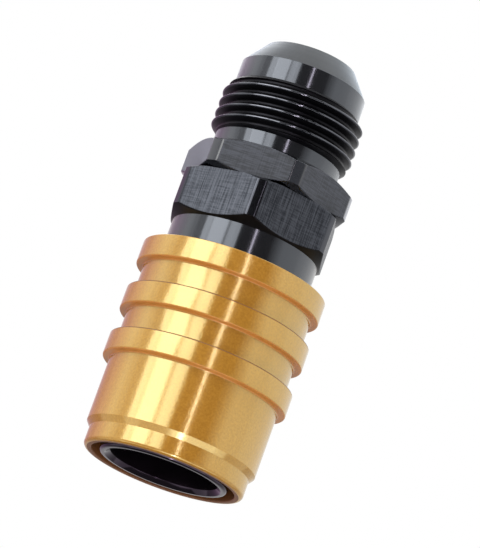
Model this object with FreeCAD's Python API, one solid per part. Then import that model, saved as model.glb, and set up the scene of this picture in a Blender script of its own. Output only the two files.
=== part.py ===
import FreeCAD, Part
import math
import os

# Quick coupling, socket half, with a male 37 degree flare end. Sizes are millimetres and degrees.
# Z is the axis: the mouth that takes the plug is at z = 0 and the flare tip is the highest point.

# Named clearances
shank_clearance = 0.05
nose_clearance = 0.06
coil_clearance = 0.175
snap_ring_clearance = 0.25
ball_land_clearance = 0.03
ball_flush_clearance = 0.02
ball_hole_clearance = 0.0525
stem_clearance = 0.05
pilot_clearance = 0.5
spigot_clearance = 0.05
groove_clearance = 0.05
seal_side_clearance = 0.2
seat_clearance = 0.01
cone_clearance = 0.2
cut_margin = 1.0
edge_break = 0.2

# Socket body, from the plug bore outwards and from the mouth upwards
plug_bore_r = 10.25
plug_bore_lead = 0.85
plug_bore_length = 4.15
ball_zone_relief = 0.2
ball_zone_length = 8.0
nose_wall = 2.0
nose_round = 0.65
nose_edge = 0.25
throat_r = 7.2
throat_length = 0.8
probe_shoulder = 1.4
probe_bore_length = 9.0
seat_width = 3.4
rear_socket_step = 1.6
rear_socket_depth = 7.9
rear_socket_chamfer = 0.4
body_hex_height = 9.05
body_hex_flats = 28.8
body_hex_corner_rise = 1.75
body_hex_top_rise = 0.7
body_hex_lower_angle = 32.0
body_hex_turn = -93.4
hex_chamfer_angle = 30.0

# Release sleeve
sleeve_length = 39.2
sleeve_travel = 4.5
sleeve_room = 5.65
sleeve_wall = 2.05
shank_cover = 8.2
mouth_gap = 1.4
lip_wall = 1.55
lip_length = 3.45
lip_round = 0.7
lip_step_length = 1.1
grip_ring_height = 1.45
grip_ring_width = 4.2
grip_ring_pitch = 9.1
grip_ring_count = 3
grip_ring_root = 0.5
sleeve_land_length = 4.9

# Locking balls and snap ring
ball_r = 1.5875
ball_count = 8
ball_setback = 2.4
ball_hole_taper = 0.45
ball_hole_catch = 0.0325
snap_ring_z = 4.2
snap_ring_width = 1.0
snap_ring_depth = 0.55
snap_ring_gap = 4.0

# Springs
sleeve_spring_wire = 1.4
sleeve_spring_turns = 5.0
valve_spring_wire = 1.0
valve_spring_turns = 8.0

# Valve and its guide
poppet_tip_gap = 1.0
poppet_tip_length = 3.3
poppet_tip_round = 0.5
poppet_flow_gap = 1.4
poppet_head_height = 4.8
poppet_pilot_length = 1.6
poppet_seal_rise = 2.7
stem_r = 2.5
stem_short = 0.5
guide_thickness = 2.0
guide_hub_wall = 1.5
guide_hub_length = 5.0
guide_rim_width = 2.4
guide_spokes = 3
guide_spoke_width = 3.0

# Seal rings
seal_section_r = 0.89
bore_seal_squash = 0.3
bore_seal_setback = 2.0
backup_ring_width = 1.1
adapter_seal_section_r = 0.75
adapter_seal_setback = 1.7

# Flare adapter
adapter_hex_height = 6.05
adapter_hex_flats = 28.6
adapter_hex_corner_rise = 1.6
adapter_hex_turn = -73.6
flare_thread_r = 13.475
flare_thread_length = 10.4
flare_thread_pitch = 2.1167
flare_thread_depth = 1.295
flare_thread_crest = 0.17
flare_thread_angle = 60.0
flare_thread_start = 0.508
neck_length = 3.25
neck_relief = 0.18
flare_collar_r = 11.95
flare_collar_length = 4.1
flare_angle = 37.0
flare_bore_r = 7.75
flare_tip_wall = 0.8

# Radii that follow from the values above
nose_r = plug_bore_r + nose_wall
ball_zone_r = plug_bore_r + ball_zone_relief
probe_bore_r = throat_r + probe_shoulder
chamber_r = throat_r + seat_width
rear_socket_r = chamber_r + rear_socket_step
spigot_r = rear_socket_r - spigot_clearance
sleeve_spring_r = nose_r + coil_clearance + sleeve_spring_wire / 2
sleeve_bore_r = sleeve_spring_r + sleeve_spring_wire / 2 + coil_clearance
shank_r = sleeve_bore_r - shank_clearance
sleeve_r = sleeve_bore_r + sleeve_wall
grip_ring_r = sleeve_r + grip_ring_height
mouth_r = nose_r + mouth_gap
lip_r = mouth_r + lip_wall
sleeve_land_r = nose_r + nose_clearance
snap_groove_r = nose_r - snap_ring_depth
snap_ring_r = mouth_r - snap_ring_clearance
body_hex_corner_r = body_hex_flats / 2 + body_hex_corner_rise
body_hex_top_r = body_hex_flats / 2 + body_hex_top_rise
adapter_hex_face_r = adapter_hex_flats / 2
adapter_hex_corner_r = adapter_hex_face_r + adapter_hex_corner_rise
thread_root_r = flare_thread_r - flare_thread_depth
neck_r = thread_root_r - neck_relief
flare_tip_r = flare_bore_r + flare_tip_wall
guide_hub_r = stem_r + stem_clearance + guide_hub_wall
valve_spring_r = guide_hub_r + pilot_clearance + valve_spring_wire / 2

# Heights that follow from the values above
plug_bore_end = plug_bore_lead + plug_bore_length
ball_zone_end = plug_bore_end + ball_zone_length
bore_seal_gland_z = ball_zone_end + bore_seal_setback
probe_bore_end = ball_zone_end + probe_bore_length
seat_z = probe_bore_end + throat_length
spring_shoulder_z = sleeve_length - shank_cover
body_hex_z = sleeve_length + sleeve_room
joint_face_z = body_hex_z + body_hex_height
chamber_end = joint_face_z - rear_socket_depth
spigot_z = chamber_end + guide_thickness
sleeve_stop_z = snap_ring_z + snap_ring_width
ball_z = sleeve_stop_z + ball_setback
sleeve_land_end = ball_z + sleeve_land_length
poppet_tip_z = seat_z - poppet_tip_length
poppet_seal_z = seat_z + poppet_seal_rise
poppet_head_top = seat_z + poppet_head_height
stem_top = spigot_z - stem_short
adapter_seal_z = joint_face_z - adapter_seal_setback

# Ball lock: the release cone lifts the balls out of the bore over the sleeve's whole travel
ball_rest_r = sleeve_land_r - ball_land_clearance - ball_r
ball_lift = plug_bore_r + ball_flush_clearance + ball_r - ball_rest_r
release_slope = ball_lift / sleeve_travel
release_angle = math.atan(release_slope)
release_z = ball_z + (ball_r + ball_land_clearance) * math.tan(release_angle / 2)
release_r = sleeve_land_r + release_slope * (release_z - sleeve_stop_z)


def at(radius, z):
    return FreeCAD.Vector(radius, 0, z)


def turned(corners):
    # Revolves a closed profile of (radius, height) corners; a third value is the rounding of that corner.
    points = [at(c[0], c[1]) for c in corners]
    rounds = [c[2] if len(c) > 2 else 0.0 for c in corners]
    arcs = []
    for i, point in enumerate(points):
        back = (points[i - 1] - point).normalize()
        ahead = (points[(i + 1) % len(points)] - point).normalize()
        if rounds[i] == 0.0:
            arcs.append((point, None, point))
            continue
        half = back.getAngle(ahead) / 2
        reach = rounds[i] / math.tan(half)
        inward = (back + ahead).normalize()
        middle = point + inward * (rounds[i] / math.sin(half) - rounds[i])
        arcs.append((point + back * reach, middle, point + ahead * reach))
    edges = []
    for i, (start, middle, end) in enumerate(arcs):
        if middle is not None:
            edges.append(Part.Arc(start, middle, end).toShape())
        edges.append(Part.makeLine(end, arcs[(i + 1) % len(arcs)][0]))
    face = Part.Face(Part.Wire(edges))
    return face.revolve(FreeCAD.Vector(0, 0, 0), FreeCAD.Vector(0, 0, 1), 360)


def hex_bar(flats, turn, z0, z1):
    radius = flats / math.sqrt(3)
    angles = [math.radians(turn + 60 * i) for i in range(7)]
    points = [FreeCAD.Vector(radius * math.cos(a), radius * math.sin(a), z0) for a in angles]
    return Part.Face(Part.makePolygon(points)).extrude(FreeCAD.Vector(0, 0, z1 - z0))


def torus(mean_r, section_r, z):
    return Part.makeTorus(mean_r, section_r, FreeCAD.Vector(0, 0, z))


def coil(wire_d, mean_r, z0, z1, turns):
    # An open coil whose two ends are ground flat on the seats at z0 and z1.
    pitch = (z1 - z0) / turns
    path = Part.Wire(Part.makeHelix(pitch, z1 - z0, mean_r).Edges)
    section = Part.Wire(Part.makeCircle(wire_d / 2, at(mean_r, 0), FreeCAD.Vector(0, 1, 0)))
    wire = path.makePipeShell([section], True, True)
    wire.translate(FreeCAD.Vector(0, 0, z0))
    outer_r = mean_r + wire_d
    return wire.common(Part.makeCylinder(outer_r, z1 - z0, FreeCAD.Vector(0, 0, z0)))


def thread_groove(z0, z1):
    # The groove that the thread tool cuts, from z0 to z1, both in free air beyond the threaded length.
    slope = math.tan(math.radians(flare_thread_angle / 2))
    root_half = (flare_thread_pitch - flare_thread_crest) / 2 - flare_thread_depth * slope
    outer_r = flare_thread_r + flare_thread_crest / 2
    outer_half = root_half + (outer_r - thread_root_r) * slope
    path = Part.Wire(Part.makeHelix(flare_thread_pitch, z1 - z0, thread_root_r).Edges)
    section = Part.makePolygon([
        at(thread_root_r, -root_half),
        at(outer_r, -outer_half),
        at(outer_r, outer_half),
        at(thread_root_r, root_half),
        at(thread_root_r, -root_half),
    ])
    groove = path.makePipeShell([section], True, True)
    groove.translate(FreeCAD.Vector(0, 0, z0))
    return groove


def ball_direction(index):
    angle = math.radians(90 + 360 * index / ball_count)
    return FreeCAD.Vector(math.cos(angle), math.sin(angle), 0)


# Socket body: nose with the plug bore, shank and wrench hexagon in one turned piece.
hex_lower_drop = (body_hex_corner_r - shank_r) * math.tan(math.radians(body_hex_lower_angle))
hex_upper_drop = (body_hex_corner_r - body_hex_top_r) * math.tan(math.radians(hex_chamfer_angle))
body = turned([
    (0, 0),
    (nose_r, 0, nose_round),
    (nose_r, snap_ring_z),
    (snap_groove_r, snap_ring_z),
    (snap_groove_r, sleeve_stop_z + groove_clearance),
    (nose_r, sleeve_stop_z + groove_clearance),
    (nose_r, spring_shoulder_z),
    (shank_r, spring_shoulder_z, edge_break),
    (shank_r, body_hex_z),
    (0, body_hex_z),
])
body_hex = turned([
    (0, body_hex_z),
    (shank_r, body_hex_z),
    (body_hex_corner_r, body_hex_z + hex_lower_drop),
    (body_hex_corner_r, joint_face_z - hex_upper_drop),
    (body_hex_top_r, joint_face_z),
    (0, joint_face_z),
]).common(hex_bar(body_hex_flats, body_hex_turn, body_hex_z, joint_face_z))
gland_end = bore_seal_gland_z + 2 * seal_section_r + groove_clearance + backup_ring_width
bore_seal_r = probe_bore_r - bore_seal_squash + seal_section_r
gland_r = bore_seal_r + seal_section_r
body_bore = turned([
    (0, -cut_margin),
    (plug_bore_r + plug_bore_lead + cut_margin, -cut_margin),
    (plug_bore_r, plug_bore_lead),
    (plug_bore_r, plug_bore_end),
    (ball_zone_r, plug_bore_end),
    (ball_zone_r, ball_zone_end),
    (probe_bore_r + nose_edge, ball_zone_end),
    (probe_bore_r, ball_zone_end + nose_edge),
    (probe_bore_r, bore_seal_gland_z),
    (gland_r, bore_seal_gland_z),
    (gland_r, gland_end),
    (probe_bore_r, gland_end),
    (probe_bore_r, probe_bore_end),
    (throat_r, probe_bore_end),
    (throat_r, seat_z),
    (chamber_r, seat_z + chamber_r - throat_r),
    (chamber_r, chamber_end),
    (rear_socket_r, chamber_end),
    (rear_socket_r, joint_face_z - rear_socket_chamfer),
    (rear_socket_r + rear_socket_chamfer, joint_face_z),
    (rear_socket_r + rear_socket_chamfer, joint_face_z + cut_margin),
    (0, joint_face_z + cut_margin),
])
socket_body = body.fuse(body_hex).cut(body_bore)
hole_r = ball_r + ball_hole_clearance
hole_inner_u = ball_rest_r - ball_hole_taper
for i in range(ball_count):
    way = ball_direction(i)
    taper_start = way * hole_inner_u + FreeCAD.Vector(0, 0, ball_z)
    taper_end = way * ball_rest_r + FreeCAD.Vector(0, 0, ball_z)
    taper = Part.makeCone(ball_r - ball_hole_catch, hole_r, ball_hole_taper, taper_start, way)
    drill = Part.makeCylinder(hole_r, nose_r, taper_end, way)
    socket_body = socket_body.cut(taper.fuse(drill))
socket_body = socket_body.removeSplitter()

# Flare adapter: spigot held in the body, second hexagon, threaded end and flare cone.
adapter_hex_top = joint_face_z + adapter_hex_height
adapter_drop = (adapter_hex_corner_r - adapter_hex_face_r) * math.tan(math.radians(hex_chamfer_angle))
thread_z = adapter_hex_top + neck_length
thread_top = thread_z + flare_thread_length
thread_lead = flare_thread_r - neck_r
collar_top = thread_top + flare_collar_length
flare_tip_z = collar_top + (flare_collar_r - flare_tip_r) / math.tan(math.radians(flare_angle))
adapter_seal_r = rear_socket_r - adapter_seal_section_r
adapter_groove_half = adapter_seal_section_r + seal_side_clearance
adapter_groove_r = adapter_seal_r - adapter_seal_section_r
adapter_turned = turned([
    (flare_bore_r, spigot_z),
    (spigot_r - rear_socket_chamfer, spigot_z),
    (spigot_r, spigot_z + rear_socket_chamfer),
    (spigot_r, adapter_seal_z - adapter_groove_half),
    (adapter_groove_r, adapter_seal_z - adapter_groove_half),
    (adapter_groove_r, adapter_seal_z + adapter_groove_half),
    (spigot_r, adapter_seal_z + adapter_groove_half),
    (spigot_r, joint_face_z),
    (neck_r, joint_face_z),
    (neck_r, thread_z),
    (flare_bore_r, thread_z),
])
thread_blank = turned([
    (flare_bore_r, thread_z),
    (neck_r, thread_z),
    (flare_thread_r, thread_z + thread_lead),
    (flare_thread_r, thread_top - thread_lead),
    (flare_collar_r, thread_top),
    (flare_bore_r, thread_top),
])
adapter_collar = turned([
    (flare_bore_r, thread_top),
    (flare_collar_r, thread_top),
    (flare_collar_r, collar_top),
    (flare_tip_r, flare_tip_z),
    (flare_bore_r, flare_tip_z),
])
adapter_hex = turned([
    (flare_bore_r, joint_face_z),
    (adapter_hex_face_r, joint_face_z),
    (adapter_hex_corner_r, joint_face_z + adapter_drop),
    (adapter_hex_corner_r, adapter_hex_top - adapter_drop),
    (adapter_hex_face_r, adapter_hex_top),
    (flare_bore_r, adapter_hex_top),
]).common(hex_bar(adapter_hex_flats, adapter_hex_turn, joint_face_z, adapter_hex_top))
flare_adapter = adapter_turned.fuse(adapter_hex).removeSplitter()
groove = thread_groove(thread_z - flare_thread_start, thread_top + flare_thread_start)
flare_adapter = flare_adapter.fuse([thread_blank.cut(groove), adapter_collar])
adapter_o_ring = torus(adapter_seal_r, adapter_seal_section_r, adapter_seal_z)

# Release sleeve: grip rings outside; ball land, release cone and spring seat inside.
sleeve_corners = [
    (mouth_r, 0, edge_break),
    (lip_r, 0, lip_round),
    (lip_r, lip_length),
    (sleeve_r, lip_length + lip_step_length),
]
for i in range(grip_ring_count):
    ring_top = sleeve_length - (grip_ring_count - 1 - i) * grip_ring_pitch
    ring_low = ring_top - grip_ring_width
    sleeve_corners.append((sleeve_r, ring_low, grip_ring_root))
    sleeve_corners.append((grip_ring_r, ring_low, edge_break))
    sleeve_corners.append((grip_ring_r, ring_top, edge_break))
    if i < grip_ring_count - 1:
        sleeve_corners.append((sleeve_r, ring_top, grip_ring_root))
sleeve_corners += [
    (sleeve_bore_r, sleeve_length, edge_break),
    (sleeve_bore_r, sleeve_land_end),
    (sleeve_land_r, sleeve_land_end),
    (sleeve_land_r, release_z),
    (release_r, sleeve_stop_z),
    (mouth_r, sleeve_stop_z),
]
release_sleeve = turned(sleeve_corners)

# Snap ring: an open ring in the nose groove that stops the sleeve.
snap_ring = turned([
    (snap_groove_r + groove_clearance, snap_ring_z),
    (snap_ring_r, snap_ring_z),
    (snap_ring_r, sleeve_stop_z),
    (snap_groove_r + groove_clearance, sleeve_stop_z),
])
gap_corner = FreeCAD.Vector(-snap_ring_gap / 2, 0, snap_ring_z - cut_margin)
sleeve_retaining_ring = snap_ring.cut(
    Part.makeBox(snap_ring_gap, mouth_r, snap_ring_width + 2 * cut_margin, gap_corner)
)

# Springs: one pushes the sleeve to the mouth, the other closes the poppet.
sleeve_spring = coil(
    sleeve_spring_wire, sleeve_spring_r, sleeve_land_end, spring_shoulder_z, sleeve_spring_turns
)
valve_spring = coil(
    valve_spring_wire, valve_spring_r, poppet_head_top, chamber_end, valve_spring_turns
)

# Valve poppet with its seal ring, closed on the seat of the body.
poppet_seal_r = (
    throat_r + poppet_seal_z - seat_z - math.sqrt(2) * (seal_section_r + seat_clearance)
)
poppet_groove_r = poppet_seal_r - seal_section_r
poppet_tip_r = throat_r - poppet_tip_gap
poppet_head_r = chamber_r - poppet_flow_gap
poppet_groove_low = poppet_seal_z - seal_section_r - groove_clearance
poppet_groove_top = poppet_seal_z + seal_section_r + groove_clearance
cone_foot_z = seat_z + poppet_tip_r - throat_r + cone_clearance
cone_end_r = poppet_tip_r + poppet_groove_low - cone_foot_z
valve_poppet = turned([
    (0, poppet_tip_z),
    (poppet_tip_r, poppet_tip_z, poppet_tip_round),
    (poppet_tip_r, cone_foot_z),
    (cone_end_r, poppet_groove_low),
    (poppet_groove_r, poppet_groove_low),
    (poppet_groove_r, poppet_groove_top),
    (poppet_head_r, poppet_groove_top),
    (poppet_head_r, poppet_head_top),
    (guide_hub_r, poppet_head_top),
    (guide_hub_r, poppet_head_top + poppet_pilot_length),
    (stem_r, poppet_head_top + poppet_pilot_length),
    (stem_r, stem_top, nose_edge),
    (0, stem_top),
])
poppet_seal = torus(poppet_seal_r, seal_section_r, poppet_seal_z)

# Valve guide: a hub on spokes inside a rim, clamped between the body and the adapter.
rim = turned([
    (spigot_r - guide_rim_width, chamber_end),
    (spigot_r, chamber_end),
    (spigot_r, spigot_z),
    (spigot_r - guide_rim_width, spigot_z),
])
hub_z = spigot_z - guide_hub_length
hub = turned([
    (stem_r + stem_clearance, hub_z),
    (guide_hub_r, hub_z, nose_edge),
    (guide_hub_r, spigot_z),
    (stem_r + stem_clearance, spigot_z),
])
valve_guide = rim.fuse(hub)
spoke_inner = (guide_hub_r + stem_r + stem_clearance) / 2
spoke_length = spigot_r - guide_rim_width / 2 - spoke_inner
for i in range(guide_spokes):
    corner = FreeCAD.Vector(spoke_inner, -guide_spoke_width / 2, chamber_end)
    spoke = Part.makeBox(spoke_length, guide_spoke_width, guide_thickness, corner)
    spoke.rotate(FreeCAD.Vector(0, 0, 0), FreeCAD.Vector(0, 0, 1), 360 * i / guide_spokes)
    valve_guide = valve_guide.fuse(spoke)
valve_guide = valve_guide.removeSplitter()

# Bore seal and the back-up ring behind it, in the gland of the probe bore.
bore_seal = torus(bore_seal_r, seal_section_r, bore_seal_gland_z + seal_section_r)
bore_backup_ring = turned([
    (probe_bore_r, gland_end - backup_ring_width),
    (gland_r, gland_end - backup_ring_width),
    (gland_r, gland_end),
    (probe_bore_r, gland_end),
])

nodes = {
    "socket_body": socket_body,
    "flare_adapter": flare_adapter,
    "adapter_o_ring": adapter_o_ring,
    "release_sleeve": release_sleeve,
    "sleeve_spring": sleeve_spring,
    "sleeve_retaining_ring": sleeve_retaining_ring,
    "valve_poppet": valve_poppet,
    "poppet_seal": poppet_seal,
    "valve_spring": valve_spring,
    "valve_guide": valve_guide,
    "bore_seal": bore_seal,
    "bore_backup_ring": bore_backup_ring,
}
for i in range(ball_count):
    centre = ball_direction(i) * ball_rest_r + FreeCAD.Vector(0, 0, ball_z)
    nodes["locking_ball_" + str(i + 1)] = Part.makeSphere(ball_r, centre)

os.makedirs("parts", exist_ok=True)
for name, shape in nodes.items():
    shape.exportStep("parts/" + name + ".step")
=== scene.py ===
import math

import bpy
import numpy as np
from mathutils import Matrix


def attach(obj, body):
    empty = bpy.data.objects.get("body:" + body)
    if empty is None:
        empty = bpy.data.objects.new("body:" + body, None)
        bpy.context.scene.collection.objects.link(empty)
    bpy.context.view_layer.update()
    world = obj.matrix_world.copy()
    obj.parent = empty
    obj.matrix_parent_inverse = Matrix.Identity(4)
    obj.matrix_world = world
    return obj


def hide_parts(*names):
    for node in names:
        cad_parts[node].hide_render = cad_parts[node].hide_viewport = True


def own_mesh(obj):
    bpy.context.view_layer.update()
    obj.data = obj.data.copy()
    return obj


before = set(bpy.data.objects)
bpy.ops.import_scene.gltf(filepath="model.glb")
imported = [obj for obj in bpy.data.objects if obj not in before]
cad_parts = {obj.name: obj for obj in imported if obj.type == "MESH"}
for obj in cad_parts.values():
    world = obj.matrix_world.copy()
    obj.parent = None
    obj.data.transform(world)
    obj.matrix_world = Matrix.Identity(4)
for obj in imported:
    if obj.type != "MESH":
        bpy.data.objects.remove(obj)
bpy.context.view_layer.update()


# Socket body: one bar of aluminium, turned outside and bored from both ends, with a wrench
# hexagon milled near its rear end. It is black anodised over the satin the tools leave, and
# eight tapered holes through its nose carry the locking balls.

MM, MICRON = 0.001, 0.000001
NEAR, CLOSE, WELL_PAST, SHARP_ANGLE = 0.01, 0.05, 0.1, math.radians(38)
NOSE_R, NOSE_ROUND, MOUTH_EDGE_R, MOUTH_LEAD_Z = 12.25, 0.65, 11.1, 0.85
SNAP_GROOVE_R, SNAP_GROOVE_LOW, SNAP_GROOVE_TOP = 11.7, 4.2, 5.25
PLUG_BORE_R, BALL_ZONE_R, BALL_ZONE_LOW, BALL_ZONE_TOP = 10.25, 10.45, 5.0, 13.0
PROBE_BORE_R, PROBE_BORE_LEAD = 8.6, 0.25
SEAL_GLAND_R, SEAL_GLAND_LOW, SEAL_GLAND_TOP = 10.08, 15.0, 17.93
THROAT_R, THROAT_LOW, THROAT_TOP = 7.2, 22.0, 22.8
CHAMBER_R, CHAMBER_LOW = 10.6, 26.2
REAR_SOCKET_R, REAR_SOCKET_Z, REAR_CHAMFER = 12.2, 46.0, 0.4
SHANK_R, SHOULDER_Z, JOINT_FACE_R, JOINT_FACE_Z = 13.95, 31.0, 15.1, 53.9
BODY_HEX_Z, BODY_HEX_HALF, BODY_HEX_CORNER_R, BODY_HEX_TURN = 44.85, 14.4, 16.15, -93.4
BODY_HEX_LOWER_ANGLE, HEX_CHAMFER_ANGLE, BODY_HEX_EASE = 32, 30, 0.14
BALL_COUNT, BALL_R, BALL_Z, BALL_REST_R = 8, 1.5875, 7.6, 10.6925
BALL_HOLE_TAPER, BALL_HOLE_CATCH, BALL_HOLE_CLEARANCE = 0.45, 0.0325, 0.0525
NO_FLAT, HEX_EDGE_BAND, DRILL_OVERRUN = 99.0, 1.2, 1
RING_MARKS, FINE_CLOUD, WIDE_CLOUD = 9000.0, 2600.0, 260.0
UPRIGHT_LINES, CROSS_LINES = (5200, 5200, 150), (350, 350, 5600)


def outline(corners, steps=5):
    """Points of a closed (radius, height) outline. A corner's third value rounds it, and its
    fourth is the number of rows that the line to the next corner is divided into."""
    plain = [np.array(c[:2], float) for c in corners]
    points = []
    for i, corner in enumerate(corners):
        here, before, after = plain[i], plain[i - 1], plain[(i + 1) % len(plain)]
        rounding = corner[2] if len(corner) > 2 else 0.0
        rows = corner[3] if len(corner) > 3 else 1
        if rounding:
            back = (before - here) / np.linalg.norm(before - here)
            ahead = (after - here) / np.linalg.norm(after - here)
            half = math.acos(np.clip(back @ ahead, -1, 1)) / 2
            inward = (back + ahead) / np.linalg.norm(back + ahead)
            centre = here + inward * rounding / math.sin(half)
            first = back * rounding / math.tan(half) + here - centre
            last = ahead * rounding / math.tan(half) + here - centre
            sweep = math.pi - 2 * half
            for k in range(steps + 1):
                a = sweep * k / steps
                part = (math.sin(sweep - a) * first + math.sin(a) * last) / math.sin(sweep)
                points.append(centre + part)
        else:
            points.append(here)
        if rows > 1:
            start = points[-1].copy()
            points += [start + (after - start) * k / rows for k in range(1, rows)]
    return np.array(points)


def eased_min(a, b, ease):
    """The smaller of two radii, with the edge where they meet eased over a short width."""
    near = np.maximum(ease - np.abs(a - b), 0) / ease
    return np.minimum(a, b) - near * near * ease / 4


def sweep_rows(name, radius, height, angles):
    """A closed skin from rows of radii (millimetres) at the given heights and angles. It also
    gives the row and column of each face."""
    rows, columns = radius.shape
    xyz = np.stack([radius * np.cos(angles), radius * np.sin(angles), height], axis=2) * MM
    vertices, index = [], np.zeros((rows, columns), int)
    for i in range(rows):
        on_axis = radius[i].max() < 1e-6
        start = len(vertices)
        vertices += [tuple(xyz[i, 0])] if on_axis else [tuple(p) for p in xyz[i]]
        index[i] = start if on_axis else start + np.arange(columns)
    faces, cells = [], []
    for i in range(rows):
        up = (i + 1) % rows
        for j in range(columns):
            side = (j + 1) % columns
            corners = [index[i, j], index[i, side], index[up, side], index[up, j]]
            loop = list(dict.fromkeys(int(c) for c in corners))
            if len(loop) > 2:
                faces.append(loop)
                cells.append((i, j))
    mesh = bpy.data.meshes.new(name)
    mesh.from_pydata(vertices, [], faces)
    mesh.polygons.foreach_set("use_smooth", [True] * len(mesh.polygons))
    mesh.set_sharp_from_angle(angle=SHARP_ANGLE)
    piece = bpy.data.objects.new(name, mesh)
    bpy.context.scene.collection.objects.link(piece)
    return piece, cells


def lathe(name, corners, columns=256, steps=5):
    """A turned piece: its outline swept round the axis."""
    points = outline(corners, steps)
    angles = np.linspace(0, 2 * math.pi, columns, endpoint=False)
    radius = np.repeat(points[:, :1], columns, axis=1)
    height = np.repeat(points[:, 1:], columns, axis=1)
    return sweep_rows(name, radius, height, angles)[0]


def hexagon_columns(half, corner_r, turn, coarse=34):
    """Column angles for a hexagon with turned corners, closest where flat and corner meet."""
    edge, band = math.degrees(math.acos(half / corner_r)), HEX_EDGE_BAND
    cuts = [-30, -edge - band, -edge + band, edge - band, edge + band, 30]
    parts = [np.linspace(a, b, n, endpoint=False) for a, b, n in
             zip(cuts, cuts[1:], (3, 9, coarse, 9, 3))]
    one = np.concatenate(parts)
    return np.radians(np.concatenate([one + turn + 30 + 60 * k for k in range(6)]))


def hexagon_radius(angles, half, turn):
    """Distance from the axis to the flats of a hexagon with a corner at the given turn."""
    from_flat = np.mod(np.degrees(angles) - turn, 60) - 30
    return half / np.cos(np.radians(from_flat))


def dress(piece, body, slot, *materials):
    """Hangs a finished piece on its body with its materials."""
    for material in materials:
        piece.data.materials.append(material)
    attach(piece, body)


def finish_material(name, colour, metallic, roughness):
    """A new material with its Principled shader, ready for a finish's own nodes."""
    material = bpy.data.materials.new(name)
    material.use_nodes = True
    shader = material.node_tree.nodes["Principled BSDF"]
    shader.inputs["Base Color"].default_value = (*colour, 1)
    shader.inputs["Metallic"].default_value = metallic
    shader.inputs["Roughness"].default_value = roughness
    return material, material.node_tree.nodes, material.node_tree.links, shader


def adjust_finish(material, values):
    """Sets further values of a finish by the names of its shader's sockets."""
    shader = material.node_tree.nodes["Principled BSDF"]
    for socket, value in values.items():
        shader.inputs[socket].default_value = value


def work_out(nodes, links, operation, first, second):
    """The result of a math node over two sockets, the first of which may be a plain number."""
    node = nodes.new("ShaderNodeMath")
    node.operation = operation
    if isinstance(first, float):
        node.inputs[0].default_value = first
    else:
        links.new(first, node.inputs[0])
    links.new(second, node.inputs[1])
    return node.outputs[0]


def lathe_distance(nodes, links):
    """Radius plus height of the shaded point: it counts tool marks along walls and faces alike."""
    place = nodes.new("ShaderNodeTexCoord")
    split = nodes.new("ShaderNodeSeparateXYZ")
    flat = nodes.new("ShaderNodeCombineXYZ")
    length = nodes.new("ShaderNodeVectorMath")
    length.operation = "LENGTH"
    links.new(place.outputs["Object"], split.inputs[0])
    links.new(split.outputs["X"], flat.inputs["X"])
    links.new(split.outputs["Y"], flat.inputs["Y"])
    links.new(flat.outputs[0], length.inputs[0])
    total = work_out(nodes, links, "ADD", length.outputs["Value"], split.outputs["Z"])
    return place.outputs["Object"], total


def noise(nodes, links, source, scale, detail=2.0, kind="3D"):
    """A noise texture read along a distance (1D) or over a vector."""
    grain = nodes.new("ShaderNodeTexNoise")
    grain.noise_dimensions = kind
    grain.inputs["Scale"].default_value = scale
    grain.inputs["Detail"].default_value = detail
    links.new(source, grain.inputs["W" if kind == "1D" else "Vector"])
    return grain.outputs["Fac"]


def spread(nodes, links, source, low, high, start=0.3, end=0.7):
    """Maps a value that runs from start to end, such as a noise, onto low to high."""
    ramp = nodes.new("ShaderNodeMapRange")
    ramp.inputs["From Min"].default_value = start
    ramp.inputs["From Max"].default_value = end
    ramp.inputs["To Min"].default_value = low
    ramp.inputs["To Max"].default_value = high
    links.new(source, ramp.inputs["Value"])
    return ramp.outputs["Result"]


def tint(nodes, links, source, dark, light, start=0.3, end=0.7):
    """Mixes two shades by a value that runs from start to end, such as a noise."""
    blend = nodes.new("ShaderNodeValToRGB")
    blend.color_ramp.elements[0].position = start
    blend.color_ramp.elements[0].color = (*dark, 1)
    blend.color_ramp.elements[1].position = end
    blend.color_ramp.elements[1].color = (*light, 1)
    links.new(source, blend.inputs["Fac"])
    return blend.outputs["Color"]


def tool_marks(nodes, links, shader, source, height, under=None):
    """Raises fine marks on the shader's normal."""
    bump = nodes.new("ShaderNodeBump")
    bump.inputs["Distance"].default_value = height
    bump.inputs["Strength"].default_value = 1.0
    links.new(source, bump.inputs["Height"])
    if under is not None:
        links.new(under, bump.inputs["Normal"])
    links.new(bump.outputs["Normal"], shader.inputs["Normal"])
    return bump.outputs["Normal"]


def turned_finish(name, dark, light, metallic, smooth, rough, mark, stretch=0.0, grain=0.0):
    """Turned metal: rings of tool marks, a faint cloud of colour, highlights drawn along the axis.
    A grain makes the cloud fine and raises it, like the specks that the etch before anodising
    leaves."""
    material, nodes, links, shader = finish_material(name, light, metallic, rough)
    place, along = lathe_distance(nodes, links)
    rings = noise(nodes, links, along, RING_MARKS, 3.0, "1D")
    cloud = noise(nodes, links, place, FINE_CLOUD if grain else WIDE_CLOUD, 3.0)
    links.new(tint(nodes, links, cloud, dark, light), shader.inputs["Base Color"])
    links.new(spread(nodes, links, rings, smooth, rough), shader.inputs["Roughness"])
    marks = tool_marks(nodes, links, shader, rings, mark)
    if grain:
        tool_marks(nodes, links, shader, cloud, grain, marks)
    tangent = nodes.new("ShaderNodeTangent")
    tangent.direction_type = "RADIAL"
    tangent.axis = "Z"
    links.new(tangent.outputs[0], shader.inputs["Tangent"])
    shader.inputs["Anisotropic"].default_value = stretch
    return material


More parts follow.
